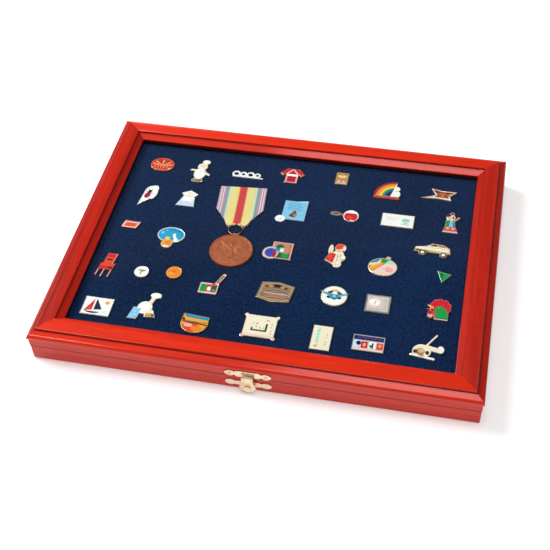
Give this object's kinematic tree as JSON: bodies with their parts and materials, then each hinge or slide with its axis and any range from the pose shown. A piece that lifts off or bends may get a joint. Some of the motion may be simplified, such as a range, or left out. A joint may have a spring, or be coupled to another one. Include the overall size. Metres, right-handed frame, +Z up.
{
  "type": "pin and medal display case",
  "caption": "Flat hinged wooden display case with a moulded, glazed lid, a brass clasp and a dark felt pad that holds lapel pins and a ribboned medal.",
  "frame": {"origin": "centre of the case's footprint, on the surface it rests on", "axes": "+X to the right as the clasp side is faced, +Y from the clasp towards the hinges, +Z up"},
  "size_m": [0.35, 0.2696, 0.0318],
  "materials": {
    "cherry_stained_wood": "red-stained, clear gloss lacquer",
    "hardboard": "matte",
    "plain_wood": "satin",
    "card": "matte",
    "clear_glass": "polished",
    "pad_foam": "matte",
    "navy_felt": "matte felt",
    "nail_steel": "plain",
    "spring_steel": "plain",
    "hinge_brass": "satin",
    "clasp_brass": "bright",
    "pin_metal": "enamelled",
    "medal_bronze": "satin bronze",
    "striped_ribbon": "ribbed silk"
  },
  "bodies": {
    "base": {"bar_pins": "pin_metal", "base_back_rail": "cherry_stained_wood", "base_corner_nails": "nail_steel", "base_front_rail": "cherry_stained_wood", "base_left_rail": "cherry_stained_wood", "base_panel": "hardboard", "base_right_rail": "cherry_stained_wood", "bear_pin": "pin_metal", "booklet_pin": "pin_metal", "bow_pin": "pin_metal", "bowl_pin": "pin_metal", "car_pin": "pin_metal", "card_pins": "pin_metal", "chair_pin": "pin_metal", "clasp_base_nails": "clasp_brass", "clasp_base_plate": "clasp_brass", "clasp_pivot_pin": "clasp_brass", "clasp_spring": "spring_steel", "cook_pins": "pin_metal", "guitar_pin": "pin_metal", "hinge_base_leaves": "hinge_brass", "hinge_base_screws": "hinge_brass", "hinge_pins": "hinge_brass", "house_pin": "pin_metal", "juggler_pin": "pin_metal", "lagoon_pin": "pin_metal", "leaf_pin": "pin_metal", "medal_brooch": "nail_steel", "medal_disc": "medal_bronze", "medal_ribbon": "striped_ribbon", "medal_ring": "medal_bronze", "oval_pins": "pin_metal", "pad_backing_board": "card", "pad_felt_cover": "navy_felt", "pad_foam": "pad_foam", "palette_pin": "pin_metal", "pan_pin": "pin_metal", "plaque_pins": "pin_metal", "rainbow_pin": "pin_metal", "rider_pin": "pin_metal", "ring_chain_pin": "pin_metal", "rooster_pin": "pin_metal", "round_pins": "pin_metal", "shirt_pin": "pin_metal", "small_pins": "pin_metal", "square_pins": "pin_metal", "tile_pin": "pin_metal"},
    "lid": {"lid_back_rail": "cherry_stained_wood", "lid_corner_nails": "nail_steel", "lid_front_rail": "cherry_stained_wood", "lid_left_rail": "cherry_stained_wood", "lid_right_rail": "cherry_stained_wood", "glass_pane": "clear_glass", "glazing_strips": "plain_wood", "glazing_brads": "nail_steel", "hinge_lid_leaves": "hinge_brass", "hinge_lid_screws": "hinge_brass", "clasp_catch_plate": "clasp_brass", "clasp_catch_nails": "clasp_brass"},
    "clasp_lever": {"clasp_lever": "clasp_brass"}
  },
  "joints": [
    {"name": "lid_hinge", "type": "hinge", "parent": "base", "child": "lid", "pos_m": [0, 0.1327, 0.0153], "axis": [-1, 0, 0], "range_deg": [0, 174]},
    {"name": "clasp_pivot", "type": "hinge", "parent": "base", "child": "clasp_lever", "pos_m": [0, -0.13235, 0.0092], "axis": [1, 0, 0], "range_deg": [0, 12], "stiffness_Nm_per_rad": 0.02, "springref_deg": -11.46, "deforming": ["clasp_spring"]}
  ]
}
